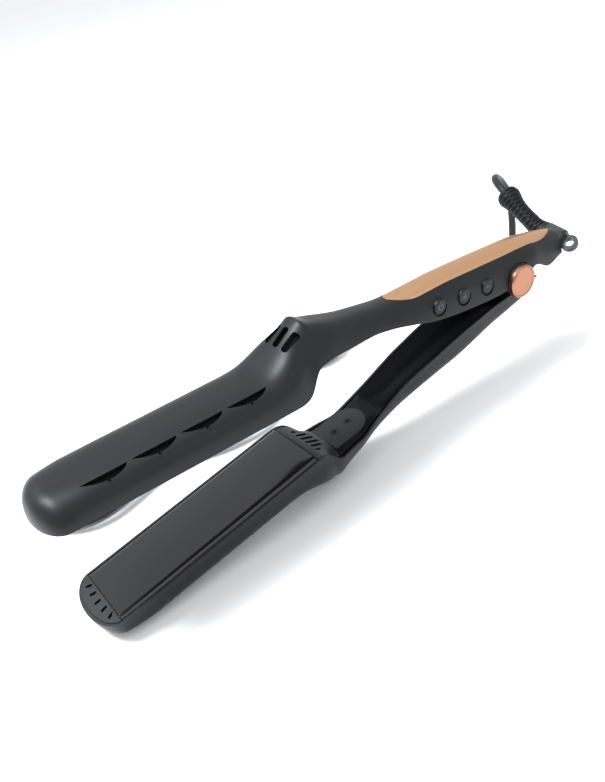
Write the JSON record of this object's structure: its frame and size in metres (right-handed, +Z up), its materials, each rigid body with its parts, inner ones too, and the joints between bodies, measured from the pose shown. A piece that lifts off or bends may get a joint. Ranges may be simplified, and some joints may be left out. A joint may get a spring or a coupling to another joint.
{
  "type": "flat iron",
  "caption": "Hand-held hair straightening iron: two sprung hinged arms with wide floating plates, a button handle, and a swivelling hang loop with a tied mains cord.",
  "frame": {"origin": "on the surface the iron lies on, under the centre of the iron's box, cord and boot left out", "axes": "+X toward the tail and the cord, -X toward the tips, +Y toward the side without buttons, +Z up; the hinge axis runs along Y"},
  "size_m": [0.3558, 0.1329, 0.0921],
  "materials": {
    "shell": "soft-touch matte",
    "frame": "satin, heat-proof",
    "inner_cover": "satin",
    "plate": "glossy ceramic coat on aluminium",
    "heater": "ceramic",
    "clip": "plain spring sheet",
    "cushion": "silicone",
    "shield": "matte mica-filled liner",
    "screw": "blackened",
    "trim": "satin champagne copper",
    "board": "fibreglass laminate",
    "switch": "moulded",
    "button": "satin",
    "spring": "bright wire",
    "swivel": "satin",
    "pin": "ground",
    "cap": "satin rose copper",
    "boot": "matte",
    "cord": "satin jacket",
    "tie": "woven strap",
    "plug": "satin moulded",
    "prong": "bright"
  },
  "bodies": {
    "upper_arm": {"upper_shell": "shell", "upper_frame": "frame", "upper_cover": "inner_cover", "upper_cushions": "cushion", "upper_shield": "shield", "upper_screws": "screw", "handle_trim": "trim", "control_board": "board", "switches": "switch", "hinge_spring": "spring", "swivel_collar": "swivel", "strain_relief": "boot", "cord_run": "cord", "cord_hank": "cord", "cord_tail": "cord", "cord_tie": "tie", "plug_body": "plug", "plug_pins": "prong"},
    "lower_arm": {"lower_shell": "shell", "lower_frame": "frame", "lower_channel": "inner_cover", "neck_panel": "inner_cover", "panel_screws": "screw", "lower_cushions": "cushion", "lower_shield": "shield", "hinge_pin": "pin", "near_cap": "cap", "far_cap": "cap"},
    "upper_plate_body": {"upper_plate": "plate", "upper_heater": "heater", "upper_clip": "clip"},
    "lower_plate_body": {"lower_plate": "plate", "lower_heater": "heater", "lower_clip": "clip"},
    "power_key": {"power_button": "button"},
    "plus_key": {"plus_button": "button"},
    "minus_key": {"minus_button": "button"},
    "swivel": {"swivel_barrel": "swivel"}
  },
  "joints": [
    {"name": "arm_hinge", "type": "hinge", "parent": "upper_arm", "child": "lower_arm", "pos_m": [0.11003, 0, 0.05392], "axis": [0, 1, 0], "range_deg": [0, 11.5], "stiffness_Nm_per_rad": 0.6, "springref_deg": -33.23, "deforming": ["hinge_spring"]},
    {"name": "upper_plate_float", "type": "slide", "parent": "upper_arm", "child": "upper_plate_body", "axis": [0.0477, 0, 0.9989], "range_m": [0, 0.0006], "stiffness_N_per_m": 2000, "springref_m": -0.0008},
    {"name": "lower_plate_float", "type": "slide", "parent": "lower_arm", "child": "lower_plate_body", "axis": [0.1524, 0, -0.9883], "range_m": [0, 0.0006], "stiffness_N_per_m": 2000, "springref_m": -0.0008},
    {"name": "power_press", "type": "slide", "parent": "upper_arm", "child": "power_key", "axis": [0, 1, 0], "range_m": [0, 0.0005], "stiffness_N_per_m": 200, "springref_m": -0.002},
    {"name": "plus_press", "type": "slide", "parent": "upper_arm", "child": "plus_key", "axis": [0, 1, 0], "range_m": [0, 0.0005], "stiffness_N_per_m": 200, "springref_m": -0.002},
    {"name": "minus_press", "type": "slide", "parent": "upper_arm", "child": "minus_key", "axis": [0, 1, 0], "range_m": [0, 0.0005], "stiffness_N_per_m": 200, "springref_m": -0.002},
    {"name": "swivel_turn", "type": "hinge", "parent": "upper_arm", "child": "swivel", "pos_m": [0.15481, 0, 0.05859], "axis": [0.0099, 0.9781, 0.2077], "continuous": true}
  ]
}
